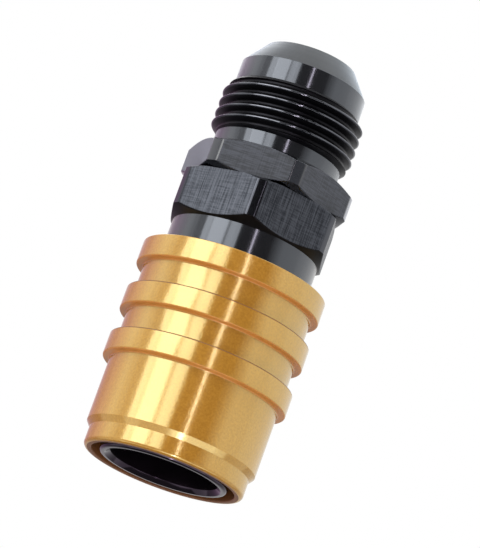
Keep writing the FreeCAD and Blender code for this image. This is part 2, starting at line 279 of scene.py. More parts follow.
def milled_finish(name, dark, light, metallic, smooth, rough, upright_share, mark):
    """Milled anodised flats: fine lines along the axis crossed by fine lines round it."""
    material, nodes, links, shader = finish_material(name, light, metallic, rough)
    place = nodes.new("ShaderNodeTexCoord")
    lines = []
    for scale, share in ((UPRIGHT_LINES, upright_share), (CROSS_LINES, 1 - upright_share)):
        aim = nodes.new("ShaderNodeMapping")
        aim.inputs["Scale"].default_value = scale
        links.new(place.outputs["Object"], aim.inputs["Vector"])
        grain = noise(nodes, links, aim.outputs["Vector"], 1.0, 3.0)
        lines.append(spread(nodes, links, grain, 0.0, share))
    weave = work_out(nodes, links, "ADD", *lines)
    links.new(tint(nodes, links, weave, dark, light), shader.inputs["Base Color"])
    links.new(spread(nodes, links, weave, smooth, rough), shader.inputs["Roughness"])
    tool_marks(nodes, links, shader, weave, mark)
    return material


black_turned = turned_finish(
    "black_anodised_turned", (0.058, 0.061, 0.071), (0.070, 0.074, 0.086),
    metallic=1.0, smooth=0.06, rough=0.15, mark=0.3 * MICRON, stretch=0.3)
black_flats = milled_finish(
    "black_anodised_body_flats", (0.030, 0.033, 0.040), (0.100, 0.108, 0.126),
    metallic=0.9, smooth=0.34, rough=0.5, upright_share=0.66, mark=3 * MICRON)
black_hazed = turned_finish(
    "black_anodised_hazed", (0.0035, 0.0035, 0.004), (0.005, 0.005, 0.006),
    metallic=0.0, smooth=0.06, rough=0.15, mark=0.3 * MICRON, stretch=0.3)
adjust_finish(black_hazed, {"IOR": 1.87, "Specular Tint": (0.84, 0.9, 1.0, 1), "Sheen Weight": 1.0,
                            "Sheen Roughness": 0.36, "Sheen Tint": (0.90, 0.96, 1.0, 1)})
# Painted shade: a near-black, rough copy of the black for faces where shade falls, the chamfer
# under the body's hexagon and the thread's grooves.
black_shaded = turned_finish(
    "black_anodised_shaded", (0.009, 0.009, 0.011), (0.013, 0.013, 0.016),
    metallic=0.9, smooth=0.3, rough=0.42, mark=0.6 * MICRON)
black_nose = turned_finish(
    "black_anodised_nose", (0.066, 0.050, 0.070), (0.082, 0.062, 0.086),
    metallic=1.0, smooth=0.06, rough=0.15, mark=0.3 * MICRON, stretch=0.3)
# Painted shade: a near-black, rough copy of the black, faintly purple, for the bore behind the
# mouth, where shade falls.
black_bore_shade = turned_finish(
    "black_anodised_bore_shade", (0.011, 0.007, 0.011), (0.016, 0.010, 0.016),
    metallic=0.9, smooth=0.3, rough=0.42, mark=0.6 * MICRON)

lower_drop = (BODY_HEX_CORNER_R - SHANK_R) * math.tan(math.radians(BODY_HEX_LOWER_ANGLE))
upper_drop = (BODY_HEX_CORNER_R - JOINT_FACE_R) * math.tan(math.radians(HEX_CHAMFER_ANGLE))
body_points = outline([
    (PLUG_BORE_R, MOUTH_LEAD_Z, 0.12),
    (MOUTH_EDGE_R, 0, 0.1),
    (NOSE_R, 0, NOSE_ROUND),
    (NOSE_R, SNAP_GROOVE_LOW),
    (SNAP_GROOVE_R, SNAP_GROOVE_LOW),
    (SNAP_GROOVE_R, SNAP_GROOVE_TOP),
    (NOSE_R, SNAP_GROOVE_TOP),
    (NOSE_R, SHOULDER_Z),
    (SHANK_R, SHOULDER_Z, 0.2),
    (SHANK_R, BODY_HEX_Z, 0, 28),
    (BODY_HEX_CORNER_R, BODY_HEX_Z + lower_drop, 0, 4),
    (BODY_HEX_CORNER_R, JOINT_FACE_Z - upper_drop, 0, 16),
    (JOINT_FACE_R, JOINT_FACE_Z, 0.1),
    (REAR_SOCKET_R + REAR_CHAMFER, JOINT_FACE_Z),
    (REAR_SOCKET_R, JOINT_FACE_Z - REAR_CHAMFER),
    (REAR_SOCKET_R, REAR_SOCKET_Z),
    (CHAMBER_R, REAR_SOCKET_Z),
    (CHAMBER_R, CHAMBER_LOW),
    (THROAT_R, THROAT_TOP, 0.1),
    (THROAT_R, THROAT_LOW, 0.1),
    (PROBE_BORE_R, THROAT_LOW),
    (PROBE_BORE_R, SEAL_GLAND_TOP),
    (SEAL_GLAND_R, SEAL_GLAND_TOP),
    (SEAL_GLAND_R, SEAL_GLAND_LOW),
    (PROBE_BORE_R, SEAL_GLAND_LOW, 0.08),
    (PROBE_BORE_R, BALL_ZONE_TOP + PROBE_BORE_LEAD),
    (PROBE_BORE_R + PROBE_BORE_LEAD, BALL_ZONE_TOP),
    (BALL_ZONE_R, BALL_ZONE_TOP),
    (BALL_ZONE_R, BALL_ZONE_LOW),
    (PLUG_BORE_R, BALL_ZONE_LOW),
], steps=4)
body_angles = hexagon_columns(BODY_HEX_HALF, BODY_HEX_CORNER_R, BODY_HEX_TURN)
turned_r = np.repeat(body_points[:, :1], len(body_angles), axis=1)
flats_r = hexagon_radius(body_angles, BODY_HEX_HALF, BODY_HEX_TURN)[None, :]
flats_r = np.where(turned_r > SHANK_R - NEAR, flats_r, NO_FLAT)
body_r = eased_min(turned_r, flats_r, BODY_HEX_EASE)
body_z = np.repeat(body_points[:, 1:], len(body_angles), axis=1)
socket_body, cells = sweep_rows("socket_body_piece", body_r, body_z, body_angles)

on_flat = flats_r < turned_r - BODY_HEX_EASE / 2
on_shank = ((np.abs(turned_r - SHANK_R) < NEAR) & (body_z > SHOULDER_Z + WELL_PAST)
            & (body_z < BODY_HEX_Z - NEAR))
# The chamfer under the hexagon takes painted shade.
below_hexagon = (body_z > BODY_HEX_Z - NEAR) & (body_z < BODY_HEX_Z + lower_drop - NEAR)
# The bore's faces take painted shade.
in_bore = ((turned_r < BALL_ZONE_R + CLOSE) & (body_z > MOUTH_LEAD_Z - NEAR)
           & (body_z < THROAT_LOW + WELL_PAST))
on_nose = (turned_r < NOSE_R + NEAR) & (body_z < SNAP_GROOVE_LOW)
TURNED, FLAT, HAZED, SHADED, NOSE, BORE = range(6)
kind = np.select([in_bore, on_nose, on_flat, on_shank, below_hexagon],
                 [BORE, NOSE, FLAT, HAZED, SHADED], TURNED)
socket_body.data.polygons.foreach_set("material_index", [int(kind[c]) for c in cells])

drill_points = [(0, BALL_REST_R - BALL_HOLE_TAPER),
                (BALL_R - BALL_HOLE_CATCH, BALL_REST_R - BALL_HOLE_TAPER),
                (BALL_R + BALL_HOLE_CLEARANCE, BALL_REST_R),
                (BALL_R + BALL_HOLE_CLEARANCE, NOSE_R + DRILL_OVERRUN),
                (0, NOSE_R + DRILL_OVERRUN)]
drill = lathe("ball_hole_drill", drill_points, columns=48)
drill_mesh = drill.data
bpy.data.objects.remove(drill)
drills = bpy.data.meshes.new("ball_hole_drills")
spots, loops = [], []
for k in range(BALL_COUNT):
    turn = math.radians(90 + 360 * k / BALL_COUNT)
    for v in drill_mesh.vertices:
        out, side, up = v.co.z, v.co.x, v.co.y
        spots.append((out * math.cos(turn) - side * math.sin(turn),
                      out * math.sin(turn) + side * math.cos(turn), up + BALL_Z * MM))
    first = k * len(drill_mesh.vertices)
    loops += [[first + i for i in p.vertices] for p in drill_mesh.polygons]
drills.from_pydata(spots, [], loops)
drill_set = bpy.data.objects.new("ball_hole_drills", drills)
bpy.context.scene.collection.objects.link(drill_set)
cut = socket_body.modifiers.new("ball_holes", "BOOLEAN")
cut.object = drill_set
cut.operation = "DIFFERENCE"
cut.solver = "EXACT"
view_now = bpy.context.evaluated_depsgraph_get()
bored = bpy.data.meshes.new_from_object(socket_body.evaluated_get(view_now))
socket_body.modifiers.clear()
socket_body.data = bored
bpy.data.objects.remove(drill_set)
bored.set_sharp_from_angle(angle=SHARP_ANGLE)
dress(socket_body, "socket", "black_anodised", black_turned, black_flats, black_hazed,
      black_shaded, black_nose, black_bore_shade)
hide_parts("socket_body")


# Bore seal: a round ring of black fluoroelastomer, moulded, pressed into the gland behind the
# balls, where it seals on the probe of the plug.

SEAL_SECTION_R, FLASH_HEIGHT, FLASH_WIDTH = 0.89, 0.012, 0.06


def round_ring(name, mean_r, section_r, z, columns=192, steps=28):
    """A moulded ring of round section, with the faint flash line of its mould."""
    angles = np.linspace(0, 2 * math.pi, steps, endpoint=False)
    from_flash = np.minimum(angles, 2 * math.pi - angles)
    flash = 1 + FLASH_HEIGHT * np.exp(-(from_flash / FLASH_WIDTH) ** 2)
    points = [(mean_r + section_r * f * math.cos(a), z + section_r * f * math.sin(a))
              for a, f in zip(angles, flash)]
    return lathe(name, points, columns)


def clouded_finish(name, dark, light, metallic, smooth, rough, cloud, detail, mark=0.0, fine=1.0):
    """A finish whose shade and gloss vary in one cloud. A mark raises a finer grain on it."""
    material, nodes, links, shader = finish_material(name, light, metallic, rough)
    place = nodes.new("ShaderNodeTexCoord").outputs["Object"]
    patches = noise(nodes, links, place, cloud, detail)
    links.new(tint(nodes, links, patches, dark, light), shader.inputs["Base Color"])
    links.new(spread(nodes, links, patches, smooth, rough), shader.inputs["Roughness"])
    if mark:
        tool_marks(nodes, links, shader, noise(nodes, links, place, fine), mark)
    return material


seal_rubber = clouded_finish(
    "seal_rubber", (0.010, 0.010, 0.011), (0.021, 0.020, 0.020), metallic=0.0,
    smooth=0.38, rough=0.56, cloud=900.0, detail=4.0, mark=2 * MICRON, fine=9000.0)

bore_seal = round_ring("bore_seal_piece", SEAL_GLAND_R - SEAL_SECTION_R, SEAL_SECTION_R,
                       SEAL_GLAND_LOW + SEAL_SECTION_R)
dress(bore_seal, "socket", "seal_rubber", seal_rubber)
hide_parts("bore_seal")


# Back-up ring: a square-edged band of off-white fluoropolymer behind the bore seal, sawn and
# turned, which keeps the seal from being pushed into the gap.

BACKUP_WIDTH, BACKUP_EDGE = 1.1, 0.06

backup_plastic, nodes, links, shader = finish_material(
    "backup_plastic", (0.72, 0.70, 0.64), metallic=0.0, roughness=0.42)
place, along = lathe_distance(nodes, links)
waves = noise(nodes, links, along, scale=6000.0, kind="1D")
milk = noise(nodes, links, place, scale=500.0, detail=3.0)
links.new(tint(nodes, links, milk, (0.64, 0.62, 0.56), (0.78, 0.76, 0.71)),
          shader.inputs["Base Color"])
links.new(spread(nodes, links, milk, low=0.36, high=0.5), shader.inputs["Roughness"])
tool_marks(nodes, links, shader, waves, MICRON)

backup_low = SEAL_GLAND_TOP - BACKUP_WIDTH
backup_ring = lathe("bore_backup_ring_piece", [
    (PROBE_BORE_R, backup_low, BACKUP_EDGE),
    (SEAL_GLAND_R, backup_low, BACKUP_EDGE),
    (SEAL_GLAND_R, SEAL_GLAND_TOP, BACKUP_EDGE),
    (PROBE_BORE_R, SEAL_GLAND_TOP, BACKUP_EDGE),
], columns=192)
dress(backup_ring, "socket", "backup_plastic", backup_plastic)
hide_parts("bore_backup_ring")


# Valve poppet: turned from plain aluminium in one piece, with a flat probe, a conical head
# with the seal groove, a spring pilot and a slim stem.

POPPET_TIP_R, POPPET_TIP_Z, POPPET_TIP_ROUND = 6.2, 19.5, 0.5
POPPET_CONE_R, POPPET_GROOVE_R, POPPET_GROOVE_LOW, POPPET_GROOVE_TOP = 8.71, 7.737, 24.56, 26.44
POPPET_HEAD_R, POPPET_HEAD_TOP, PILOT_R, PILOT_TOP = 9.2, 27.6, 4.05, 29.2
STEM_R, STEM_TOP = 2.5, 47.5

plain_turned = turned_finish(
    "plain_aluminium_turned", (0.55, 0.56, 0.58), (0.70, 0.71, 0.73),
    metallic=1.0, smooth=0.18, rough=0.34, mark=MICRON, stretch=0.4)

valve_poppet = lathe("valve_poppet_piece", [
    (0, POPPET_TIP_Z),
    (POPPET_TIP_R, POPPET_TIP_Z, POPPET_TIP_ROUND),
    (POPPET_TIP_R, THROAT_LOW, 0.2),
    (POPPET_CONE_R, POPPET_GROOVE_LOW, 0.12),
    (POPPET_GROOVE_R, POPPET_GROOVE_LOW, 0.1),
    (POPPET_GROOVE_R, POPPET_GROOVE_TOP, 0.1),
    (POPPET_HEAD_R, POPPET_GROOVE_TOP, 0.1),
    (POPPET_HEAD_R, POPPET_HEAD_TOP, 0.2),
    (PILOT_R, POPPET_HEAD_TOP, 0.2),
    (PILOT_R, PILOT_TOP, 0.2),
    (STEM_R, PILOT_TOP, 0.2),
    (STEM_R, STEM_TOP, 0.3),
    (0, STEM_TOP),
], columns=192)
dress(valve_poppet, "valve", "plain_aluminium", plain_turned)
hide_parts("valve_poppet")


# Poppet seal: a second fluoroelastomer ring, stretched into the poppet's groove, that closes
# on the conical seat of the body.

poppet_seal = round_ring("poppet_seal_piece", POPPET_GROOVE_R + SEAL_SECTION_R, SEAL_SECTION_R,
                         (POPPET_GROOVE_LOW + POPPET_GROOVE_TOP) / 2)
dress(poppet_seal, "valve", "seal_rubber", seal_rubber)
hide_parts("poppet_seal")


# Valve spring: drawn spring steel wire coiled cold and ground flat at both ends. It sits over
# the pilots of poppet and guide and keeps the valve shut.

VALVE_WIRE, PILOT_CLEARANCE, VALVE_TURNS, VALVE_TRAVEL = 1.0, 0.5, 8.0, 6.0
VALVE_SPRING_LOW, VALVE_SPRING_HIGH = POPPET_HEAD_TOP, REAR_SOCKET_Z
WIRE_SHARP_ANGLE = math.radians(50)

spring_steel = clouded_finish(
    "spring_steel", (0.30, 0.30, 0.31), (0.47, 0.48, 0.50), metallic=1.0,
    smooth=0.22, rough=0.4, cloud=1400.0, detail=4.0, mark=1.5 * MICRON, fine=7000.0)


def coil_spring(name, wire_d, mean_r, low, high, turns, around=14, per_turn=56):
    """A coil of round wire whose ends are ground level with its two seats."""
    count = int(turns * per_turn) + 1
    vertices, faces = [], []
    pitch = (high - low) / turns
    slope = math.atan2(pitch, 2 * math.pi * mean_r)
    for i in range(count):
        angle = 2 * math.pi * i / per_turn
        centre_z = low + pitch * i / per_turn
        for k in range(around):
            a = 2 * math.pi * k / around
            out = mean_r + wire_d / 2 * math.cos(a)
            lift = wire_d / 2 * math.sin(a)
            back = -lift * math.sin(slope)
            x = out * math.cos(angle) - back * math.sin(angle)
            y = out * math.sin(angle) + back * math.cos(angle)
            z = min(max(centre_z + lift * math.cos(slope), low), high)
            vertices.append((x * MM, y * MM, z * MM))
    for i in range(count - 1):
        for k in range(around):
            a, b = i * around + k, i * around + (k + 1) % around
            faces.append([a, b, b + around, a + around])
    faces.append(list(range(around))[::-1])
    faces.append(list(range((count - 1) * around, count * around)))
    mesh = bpy.data.meshes.new(name)
    mesh.from_pydata(vertices, [], [f[::-1] for f in faces])
    mesh.polygons.foreach_set("use_smooth", [True] * len(mesh.polygons))
    mesh.set_sharp_from_angle(angle=WIRE_SHARP_ANGLE)
    piece = bpy.data.objects.new(name, mesh)
    bpy.context.scene.collection.objects.link(piece)
    return piece


valve_spring = coil_spring(
    "valve_spring_piece", VALVE_WIRE, PILOT_R + PILOT_CLEARANCE + VALVE_WIRE / 2,
    VALVE_SPRING_LOW, VALVE_SPRING_HIGH, VALVE_TURNS)
dress(valve_spring, "valve", "spring_steel", spring_steel)
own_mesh(valve_spring)
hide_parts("valve_spring")


# Valve guide: a small aluminium spider, turned and then milled to three spokes. Its rim is
# clamped between body and adapter, and its hub carries the poppet's stem.

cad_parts["valve_guide"].data.materials.clear()
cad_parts["valve_guide"].data.materials.append(plain_turned)


# Locking balls: hardened and polished steel balls, eight in the tapered holes of the nose.
# The sleeve holds them in the plug's groove until it is drawn back.

BALL_ROWS = 28

bearing_steel = clouded_finish(
    "bearing_steel", (0.56, 0.57, 0.59), (0.66, 0.67, 0.69), metallic=1.0,
    smooth=0.05, rough=0.12, cloud=2600.0, detail=3.0)

arc = [(BALL_R * math.sin(math.pi * i / BALL_ROWS), -BALL_R * math.cos(math.pi * i / BALL_ROWS))
       for i in range(BALL_ROWS + 1)]
arc[0], arc[-1] = (0, -BALL_R), (0, BALL_R)
for k in range(BALL_COUNT):
    number = k + 1
    turn = math.radians(90 + 360 * k / BALL_COUNT)
    ball = lathe("locking_ball_" + str(number) + "_piece", arc, columns=48)
    for v in ball.data.vertices:
        v.co.x += BALL_REST_R * MM * math.cos(turn)
        v.co.y += BALL_REST_R * MM * math.sin(turn)
        v.co.z += BALL_Z * MM
    dress(ball, "ball_" + str(number), "bearing_steel", bearing_steel)
    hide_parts("locking_ball_" + str(number))


# Sleeve spring: a wider coil of the same spring wire round the nose. It pushes the sleeve
# towards the mouth, against the snap ring.

SLEEVE_WIRE, COIL_CLEARANCE, SLEEVE_TURNS, SLEEVE_TRAVEL = 1.4, 0.175, 5.0, 4.5
SLEEVE_SPRING_LOW, SLEEVE_SPRING_HIGH = 12.5, SHOULDER_Z

sleeve_spring = coil_spring(
    "sleeve_spring_piece", SLEEVE_WIRE, NOSE_R + COIL_CLEARANCE + SLEEVE_WIRE / 2,
    SLEEVE_SPRING_LOW, SLEEVE_SPRING_HIGH, SLEEVE_TURNS, around=16, per_turn=96)
dress(sleeve_spring, "sleeve_carriage", "spring_steel", spring_steel)
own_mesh(sleeve_spring)
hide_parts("sleeve_spring")


# Release sleeve: aluminium tube turned with three square grip rings and a stepped lip, then
# anodised and dyed gold. It slides and turns freely on the body, and the spring returns it.

SLEEVE_R, SLEEVE_LENGTH, SLEEVE_BORE_R = 16.05, 39.2, 14.0
GRIP_COUNT, GRIP_R, GRIP_WIDTH, GRIP_PITCH = 3, 17.5, 4.2, 9.1
RING_ROOT_ROUND, RING_FOOT_ROUND, RING_TOP_ROUND = 0.5, 0.3, 0.2
MOUTH_R, MOUTH_ROUND, LIP_R, LIP_ROUND, LIP_LENGTH, LIP_STEP = 13.65, 0.2, 15.2, 0.7, 3.45, 1.1
LAND_R, LAND_LOW, BALL_CONE_R, BALL_CONE_Z = 12.31, 7.806, 12.985, 5.2
UNDERSIDE_BELOW, UNDERSIDE_ABOVE, END_FACE_DEPTH, HAIR = 0.3, 0.12, 0.06, 0.001

gold_turned = turned_finish(
    "gold_anodised_turned", (0.342, 0.143, 0.012), (0.460, 0.205, 0.021),
    metallic=0.0, smooth=0.08, rough=0.16, mark=0.5 * MICRON, stretch=0.4, grain=14 * MICRON)
adjust_finish(gold_turned, {"IOR": 2.9, "Specular Tint": (1.0, 0.90, 0.40, 1),
                            "Coat Weight": 0.4, "Coat Roughness": 0.06})
# Painted shade: a dark brown, rough copy of the gold for the mouth's inside and the lip's end
# face, where shade falls. It also paints a thin dark line along the top edges of the two rings
# nearer the mouth.
gold_shade_and_dark_edge = turned_finish(
    "gold_anodised_shade_and_dark_edge", (0.13, 0.043, 0.009), (0.17, 0.058, 0.012),
    metallic=0.0, smooth=0.4, rough=0.5, mark=0.5 * MICRON)
# Painted shade: a deeper orange and far less glossy copy of the gold under each ring and over the
# fillet below it, standing for the shade there and the orange light bounced between gold faces.
gold_underside_shade = turned_finish(
    "gold_anodised_ring_underside_shade", (0.48, 0.187, 0.034), (0.54, 0.215, 0.041),
    metallic=0.0, smooth=0.3, rough=0.4, mark=0.5 * MICRON)

ring_tops = [SLEEVE_LENGTH - k * GRIP_PITCH for k in reversed(range(GRIP_COUNT))]
sleeve_corners = [
    (MOUTH_R, 0, MOUTH_ROUND),
    (LIP_R, 0, LIP_ROUND),
    (LIP_R, LIP_LENGTH, 0.1),
    (SLEEVE_R, LIP_LENGTH + LIP_STEP, 0.12),
]
for top in ring_tops:
    sleeve_corners += [
        (SLEEVE_R, top - GRIP_WIDTH, RING_ROOT_ROUND),
        (GRIP_R, top - GRIP_WIDTH, RING_FOOT_ROUND),
        (GRIP_R, top, RING_TOP_ROUND),
    ]
    if top < SLEEVE_LENGTH:
        sleeve_corners.append((SLEEVE_R, top, RING_ROOT_ROUND))
sleeve_corners += [
    (SLEEVE_BORE_R, SLEEVE_LENGTH, 0.2),
    (SLEEVE_BORE_R, SLEEVE_SPRING_LOW),
    (LAND_R, SLEEVE_SPRING_LOW, 0.1),
    (LAND_R, LAND_LOW),
    (BALL_CONE_R, BALL_CONE_Z, 0.1),
    (MOUTH_R, BALL_CONE_Z),
]
release_sleeve = lathe("release_sleeve_piece", sleeve_corners, columns=320, steps=6)

BRIGHT, DARK_EDGE_AND_SHADE, UNDERSIDE_SHADE = range(3)
for face in release_sleeve.data.polygons:
    out, up = math.hypot(face.center.x, face.center.y) / MM, face.center.z / MM
    place_on_sleeve = BRIGHT
    for top in ring_tops:
        foot = top - GRIP_WIDTH
        on_top_rounding = (GRIP_R - RING_TOP_ROUND - NEAR < out < GRIP_R - HAIR
                           and top - RING_TOP_ROUND - NEAR < up < top + HAIR)
        # A thin dark line painted along the ring's top edge.
        if on_top_rounding and top < SLEEVE_LENGTH:
            place_on_sleeve = DARK_EDGE_AND_SHADE
        # The underside of each ring and the fillet below it take painted shade.
        if out > SLEEVE_R + WELL_PAST and foot - UNDERSIDE_BELOW < up < foot + UNDERSIDE_ABOVE:
            place_on_sleeve = UNDERSIDE_SHADE
    # The mouth's inside and the lip's end face take painted shade.
    in_mouth = out < MOUTH_R + MOUTH_ROUND + NEAR and up < BALL_CONE_Z + WELL_PAST
    on_end_face = out < LIP_R - LIP_ROUND and up < END_FACE_DEPTH
    face.material_index = DARK_EDGE_AND_SHADE if in_mouth or on_end_face else place_on_sleeve
dress(release_sleeve, "sleeve", "gold_anodised", gold_turned, gold_shade_and_dark_edge, gold_underside_shade)
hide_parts("release_sleeve")


# Snap ring: an open ring of flat spring steel, sprung into the groove of the nose. It stops
# the sleeve at the end of its way to the mouth.

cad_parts["sleeve_retaining_ring"].data.materials.clear()
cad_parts["sleeve_retaining_ring"].data.materials.append(spring_steel)


# Adapter seal: the third fluoroelastomer ring, moulded like the others. It lies in a groove of
# the adapter's spigot and seals it in the rear socket of the body.

SPIGOT_GROOVE_R, SPIGOT_GROOVE_LOW, SPIGOT_GROOVE_TOP = 10.7, 51.25, 53.15
ADAPTER_SEAL_SECTION_R = 0.75

adapter_seal = round_ring(
    "adapter_o_ring_piece", SPIGOT_GROOVE_R + ADAPTER_SEAL_SECTION_R, ADAPTER_SEAL_SECTION_R,
    (SPIGOT_GROOVE_LOW + SPIGOT_GROOVE_TOP) / 2)
dress(adapter_seal, "socket", "seal_rubber", seal_rubber)
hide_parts("adapter_o_ring")


# Flare adapter: black anodised aluminium, screwed into the body against its seal ring. It has
# its own hexagon, a cut 1-1/16 inch thread of 12 turns to the inch and a 37 degree cone.

SPIGOT_R, SPIGOT_LOW, SPIGOT_CHAMFER = 12.15, 48.0, 0.4
ADAPTER_HEX_HALF, ADAPTER_HEX_CORNER_R, ADAPTER_HEX_TURN = 14.3, 15.9, -73.6
ADAPTER_HEX_TOP, ADAPTER_HEX_EASE = 59.95, 0.12
THREAD_PITCH, THREAD_R, THREAD_ROOT_R, THREAD_ROWS = 25.4 / 12, 13.475, 12.18, 260
THREAD_LOW, THREAD_TOP, THREAD_FLANK_ANGLE = 63.2, 73.6, 60
THREAD_CREST_Z, THREAD_CREST_HALF, THREAD_CREST_BAND = 70.1, 0.085, 0.3
THREAD_EASE, LEAD_EASE = 0.2, 0.12
NECK_R, COLLAR_R = 12.0, 11.95
FLARE_BORE_R, FLARE_TIP_R, FLARE_LOW, FLARE_TOP = 7.75, 8.55, 77.7, 82.212

adapter_flats = milled_finish(
    "black_anodised_adapter_flats", (0.014, 0.016, 0.020), (0.056, 0.061, 0.074),
    metallic=0.35, smooth=0.48, rough=0.62, upright_share=0.3, mark=2.5 * MICRON)
adapter_corners = turned_finish(
    "black_anodised_adapter_corners", (0.013, 0.015, 0.019), (0.020, 0.022, 0.027),
    metallic=0.0, smooth=0.08, rough=0.18, mark=0.3 * MICRON, stretch=0.3)
adjust_finish(adapter_corners, {"IOR": 1.7})
for satin in (adapter_flats, adapter_corners):
    adjust_finish(satin, {"Sheen Weight": 0.6, "Sheen Roughness": 0.42,
                          "Sheen Tint": (0.84, 0.89, 1.0, 1)})
flare_seat = turned_finish(
    "black_anodised_flare_seat", (0.004, 0.005, 0.006), (0.007, 0.008, 0.010),
    metallic=0.0, smooth=0.3, rough=0.42, mark=MICRON)
adjust_finish(flare_seat, {"IOR": 1.52, "Sheen Weight": 1.0, "Sheen Roughness": 0.38,
                           "Sheen Tint": (0.74, 0.85, 0.96, 1)})
# Painted highlight: a copy of the black with about twice its reflectance, for the thread's crests,
# so that their lines of light read brighter.
thread_crest_highlight = turned_finish(
    "black_anodised_thread_crest_highlight", (0.125, 0.13, 0.145), (0.155, 0.16, 0.18),
    metallic=1.0, smooth=0.05, rough=0.1, mark=0.3 * MICRON, stretch=0.3)

adapter_drop = ((ADAPTER_HEX_CORNER_R - ADAPTER_HEX_HALF)
                * math.tan(math.radians(HEX_CHAMFER_ANGLE)))
adapter_points = outline([
    (FLARE_BORE_R, SPIGOT_LOW, 0.3),
    (SPIGOT_R - SPIGOT_CHAMFER, SPIGOT_LOW),
    (SPIGOT_R, SPIGOT_LOW + SPIGOT_CHAMFER),
    (SPIGOT_R, SPIGOT_GROOVE_LOW, 0.06),
    (SPIGOT_GROOVE_R, SPIGOT_GROOVE_LOW),
    (SPIGOT_GROOVE_R, SPIGOT_GROOVE_TOP),
    (SPIGOT_R, SPIGOT_GROOVE_TOP, 0.06),
    (SPIGOT_R, JOINT_FACE_Z),
    (ADAPTER_HEX_HALF, JOINT_FACE_Z, 0, 20),
    (ADAPTER_HEX_CORNER_R, JOINT_FACE_Z + adapter_drop, 0, 4),
    (ADAPTER_HEX_CORNER_R, ADAPTER_HEX_TOP - adapter_drop, 0, 20),
    (ADAPTER_HEX_HALF, ADAPTER_HEX_TOP),
    (NECK_R, ADAPTER_HEX_TOP, 0.3),
    (NECK_R, THREAD_LOW, 0, THREAD_ROWS),
    (COLLAR_R, THREAD_TOP),
    (COLLAR_R, FLARE_LOW, 0.12),
    (FLARE_TIP_R, FLARE_TOP, 0.12),
    (FLARE_BORE_R, FLARE_TOP, 0.15),
], steps=4)
adapter_angles = hexagon_columns(ADAPTER_HEX_HALF, ADAPTER_HEX_CORNER_R, ADAPTER_HEX_TURN,
                                 coarse=22)
turned_r = np.repeat(adapter_points[:, :1], len(adapter_angles), axis=1)
adapter_z = np.repeat(adapter_points[:, 1:], len(adapter_angles), axis=1)
flats_r = hexagon_radius(adapter_angles, ADAPTER_HEX_HALF, ADAPTER_HEX_TURN)[None, :]
flats_r = np.where(turned_r > ADAPTER_HEX_HALF - NEAR, flats_r, NO_FLAT)
adapter_r = eased_min(turned_r, flats_r, ADAPTER_HEX_EASE)

turns_up = (adapter_z - THREAD_CREST_Z) / THREAD_PITCH - adapter_angles[None, :] / (2 * math.pi)
from_crest = np.abs(turns_up - np.round(turns_up)) * THREAD_PITCH
flank_slope = math.tan(math.radians(THREAD_FLANK_ANGLE))
flank_r = THREAD_R - np.maximum(from_crest - THREAD_CREST_HALF, 0) * flank_slope
crest_r = eased_min(flank_r, np.full_like(flank_r, THREAD_R), THREAD_EASE)
thread_r = -eased_min(-crest_r, np.full_like(flank_r, -THREAD_ROOT_R), THREAD_EASE)
lead_low = NECK_R + (adapter_z - THREAD_LOW)
lead_top = COLLAR_R + (THREAD_TOP - adapter_z)
thread_r = eased_min(eased_min(thread_r, lead_low, LEAD_EASE), lead_top, LEAD_EASE)
in_thread = (adapter_z > THREAD_LOW + 2 * NEAR) & (adapter_z < THREAD_TOP - 2 * NEAR)
adapter_r = np.where(in_thread, np.maximum(thread_r, COLLAR_R), adapter_r)
flare_adapter, cells = sweep_rows("flare_adapter_piece", adapter_r, adapter_z, adapter_angles)

on_flat = flats_r < turned_r - ADAPTER_HEX_EASE / 2
on_corner = (turned_r > ADAPTER_HEX_CORNER_R - CLOSE) & ~on_flat
on_cone = (adapter_z > FLARE_LOW + 2 * NEAR) & (turned_r > FLARE_TIP_R + CLOSE)
on_neck = ((np.abs(turned_r - NECK_R) < NEAR) & (adapter_z > ADAPTER_HEX_TOP + CLOSE)
           & (adapter_z < THREAD_LOW - NEAR))
on_collar = (np.abs(turned_r - COLLAR_R) < NEAR) & (adapter_z > THREAD_TOP - NEAR)
# The crests take a painted highlight.
on_crest = in_thread & (adapter_r > THREAD_R - THREAD_CREST_BAND)
# The grooves between the crests take painted shade.
in_groove = in_thread & ~on_crest
TURNED, FLAT, CONE, WALL, GROOVE, CREST_HIGHLIGHT, CORNER = range(7)
kind = np.select([in_groove, on_crest, on_corner, on_flat, on_cone, on_neck | on_collar],
                 [GROOVE, CREST_HIGHLIGHT, CORNER, FLAT, CONE, WALL], TURNED)
flare_adapter.data.polygons.foreach_set("material_index", [int(kind[c]) for c in cells])
dress(flare_adapter, "socket", "black_anodised", black_turned, adapter_flats, flare_seat,
      black_hazed, black_shaded, thread_crest_highlight, adapter_corners)
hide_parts("flare_adapter")


# Floor: a plain pale sheet under the mouth. The photograph looks up from below its level, so
# it shows only from above, where it takes the shadow, and it fades into the white surround.

FLOOR_HALF, FLOOR_DROP, FADE_START, FADE_END = 2.0, 0.0004, 0.12, 0.55


def flat_sheet(name, half_w, half_h, z):
    """A level rectangle with its middle on the origin."""
    mesh = bpy.data.meshes.new(name)
    mesh.from_pydata([(-half_w, -half_h, z), (half_w, -half_h, z), (half_w, half_h, z),
                      (-half_w, half_h, z)], [], [(0, 1, 2, 3)])
    sheet = bpy.data.objects.new(name, mesh)
    bpy.context.scene.collection.objects.link(sheet)
    return sheet


